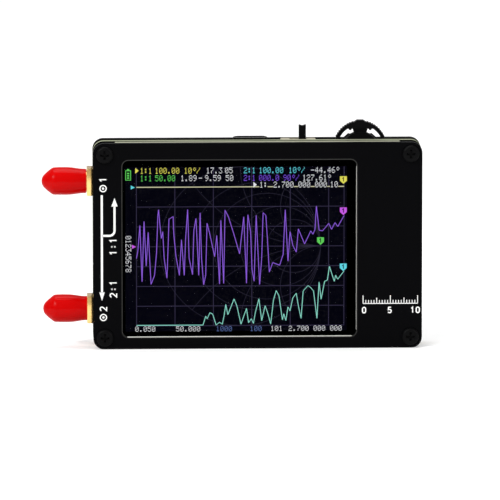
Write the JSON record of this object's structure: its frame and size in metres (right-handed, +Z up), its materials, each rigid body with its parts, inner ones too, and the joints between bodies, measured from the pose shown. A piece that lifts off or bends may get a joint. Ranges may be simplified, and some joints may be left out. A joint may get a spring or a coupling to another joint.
{
  "type": "antenna analyzer",
  "caption": "Handheld antenna analyzer: black boards stacked as an open sandwich round a colour display, with capped coaxial ports, a charging port, a slide switch and a jog lever.",
  "frame": {"origin": "middle of the main board's bottom edge, halfway through its thickness", "axes": "+X to the user's right along the long side, -Y out of the display towards the user, +Z up along the short side"},
  "size_m": [0.099, 0.0128, 0.0588],
  "materials": {
    "black_board": "black soldermask over pale fibreglass",
    "black_cover": "black soldermask, blackened edges",
    "black_screw": "black oxide steel",
    "steel": "bright tinned steel",
    "spacer_brass": "turned brass",
    "spacer_nylon": "black nylon",
    "guide": "clear acrylic",
    "screen": "lit liquid crystal cell",
    "touch": "clear glossy film",
    "foam": "soft black foam",
    "flex": "amber polyimide",
    "gold": "gold plated brass",
    "ptfe": "white PTFE",
    "red_cap": "glossy red vinyl",
    "black_plastic": "moulded black plastic",
    "brown_base": "brown phenolic",
    "silver_pouch": "aluminium laminate pouch",
    "tape": "foam tape",
    "red_wire": "red silicone insulation",
    "black_wire": "black silicone insulation",
    "white_plastic": "white nylon connector",
    "chip": "black epoxy",
    "ceramic": "ceramic chip parts"
  },
  "bodies": {
    "analyzer": {"front_panel": "black_board", "main_board": "black_board", "back_panel": "black_cover", "front_screws": "black_screw", "rear_screws": "black_screw", "front_spacers": "spacer_nylon", "rear_standoffs": "spacer_brass", "lcd_frame": "steel", "light_guide": "guide", "lcd_glass": "screen", "touch_panel": "touch", "display_gasket": "foam", "lcd_ribbon": "flex", "touch_ribbon": "flex", "sma_shell_1": "gold", "sma_shell_2": "gold", "sma_insulator_1": "ptfe", "sma_insulator_2": "ptfe", "sma_contact_1": "gold", "sma_contact_2": "gold", "usb_shell": "steel", "usb_tongue": "black_plastic", "usb_contacts": "gold", "switch_cover": "steel", "switch_base": "brown_base", "switch_pins": "steel", "jog_housing": "black_plastic", "jog_cover": "steel", "jog_leaf": "steel", "jog_feet": "steel", "battery_cell": "silver_pouch", "battery_tape": "tape", "battery_lead_red": "red_wire", "battery_lead_black": "black_wire", "battery_plug": "white_plastic", "battery_socket": "white_plastic", "shield_can_1": "steel", "shield_can_2": "steel", "processor": "chip", "crystal": "steel", "chips": "chip", "small_parts": "ceramic"},
    "switch_knob": {"switch_lever": "black_plastic", "switch_wiper": "gold"},
    "jog_carrier": {"jog_slider": "black_plastic"},
    "jog_rocker": {"jog_lever": "black_plastic"},
    "cap_upper": {"port_cap_1": "red_cap"},
    "cap_lower": {"port_cap_2": "red_cap"}
  },
  "joints": [
    {"name": "power_slide", "type": "slide", "parent": "analyzer", "child": "switch_knob", "axis": [-1, 0, 0], "range_m": [0, 0.0022]},
    {"name": "jog_push", "type": "slide", "parent": "analyzer", "child": "jog_carrier", "axis": [0, 0, -1], "range_m": [0, 0.0005], "stiffness_N_per_m": 400},
    {"name": "jog_rock", "type": "hinge", "parent": "jog_carrier", "child": "jog_rocker", "pos_m": [0.0269, 0.0021, 0.0517], "axis": [0, 1, 0], "range_deg": [-12, 12], "stiffness_Nm_per_rad": 0.01},
    {"name": "cap_upper_pull", "type": "slide", "parent": "analyzer", "child": "cap_upper", "axis": [-1, 0, 0], "range_m": [0, 0.012]},
    {"name": "cap_lower_pull", "type": "slide", "parent": "analyzer", "child": "cap_lower", "axis": [-1, 0, 0], "range_m": [0, 0.012]}
  ]
}
